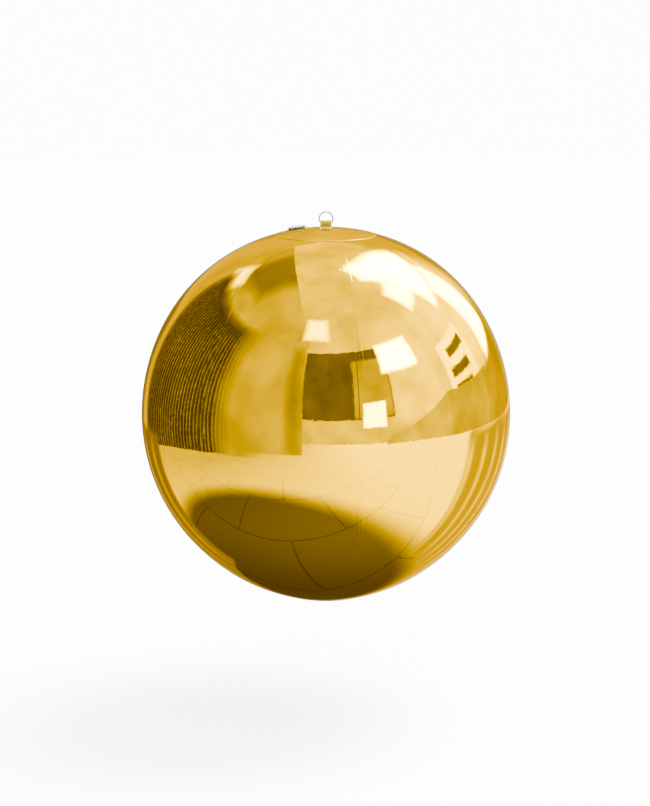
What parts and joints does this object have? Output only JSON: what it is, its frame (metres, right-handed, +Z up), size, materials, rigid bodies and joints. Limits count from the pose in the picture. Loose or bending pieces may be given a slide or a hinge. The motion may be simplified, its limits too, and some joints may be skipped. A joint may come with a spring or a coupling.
{
  "type": "inflatable mirror ball",
  "caption": "Inflated gold mirror-film ball of welded gores with polar discs, hung from a wire D-ring on a stitched tab, with a capped one-way valve beside it.",
  "frame": {"origin": "where a hook bears inside the top of the D-ring", "axes": "+Z up through the poles of the hanging ball, X along the straight bar of the D-ring, -Y towards a viewer in front of it"},
  "size_m": [0.9989, 0.9985, 1.0617],
  "materials": {
    "gold_film": "mirror-bright gold metallised vinyl film with faint welding ripples",
    "gold_disc": "the same gold mirror film, cut as a round disc",
    "gold_strap": "gold mirror film folded as a strap, creased at its fold",
    "weld_tape": "satin yellow vinyl tape on the inside",
    "thread": "dark twisted polyester thread",
    "ring_steel": "nickel-plated bent wire, lightly scuffed",
    "clear_vinyl": "cloudy clear moulded vinyl",
    "pale_vinyl": "pale moulded vinyl, satin",
    "silicone": "soft translucent silicone"
  },
  "bodies": {
    "ring": {"d_ring": "ring_steel"},
    "ball": {"gore_panel_1": "gold_film", "gore_panel_2": "gold_film", "gore_panel_3": "gold_film", "gore_panel_4": "gold_film", "gore_panel_5": "gold_film", "gore_panel_6": "gold_film", "gore_panel_7": "gold_film", "seam_tape_1": "weld_tape", "seam_tape_2": "weld_tape", "seam_tape_3": "weld_tape", "seam_tape_4": "weld_tape", "seam_tape_5": "weld_tape", "seam_tape_6": "weld_tape", "seam_tape_7": "weld_tape", "top_cap_disc": "gold_disc", "bottom_cap_disc": "gold_disc", "hang_tab": "gold_strap", "tab_stitch_front": "thread", "tab_stitch_back": "thread", "valve_base": "clear_vinyl"},
    "core_slide": {"core_seal": "silicone"},
    "core": {"valve_core": "pale_vinyl", "flap_peg": "pale_vinyl", "cap_tether": "clear_vinyl"},
    "cap": {"valve_cap": "clear_vinyl", "cap_gasket": "silicone"},
    "flap": {"check_flap": "silicone"}
  },
  "joints": [
    {"name": "tab_on_ring", "type": "hinge", "parent": "ring", "child": "ball", "pos_m": [0, 0, -0.0233], "axis": [1, 0, 0], "range_deg": [-110, 110]},
    {"name": "core_lift", "type": "slide", "parent": "ball", "child": "core_slide", "axis": [-0.149, 0.0931, 0.9845], "range_m": [0, 0.02]},
    {"name": "core_turn", "type": "hinge", "parent": "core_slide", "child": "core", "pos_m": [-0.07882, 0.04925, -0.0489], "axis": [-0.149, 0.0931, 0.9845], "range_deg": [0, 721]},
    {"name": "cap_swing", "type": "hinge", "parent": "core", "child": "cap", "pos_m": [-0.10246, 0.06402, -0.04869], "axis": [-0.5299, -0.848, 0], "range_deg": [0, 170]},
    {"name": "flap_open", "type": "slide", "parent": "core", "child": "flap", "axis": [0.149, -0.0931, -0.9845], "range_m": [0, 0.002], "stiffness_N_per_m": 20, "springref_m": -0.002}
  ],
  "couplings": [
    {"joint": "core_turn", "follows": "core_lift", "rad_per_m": 628.32}
  ]
}
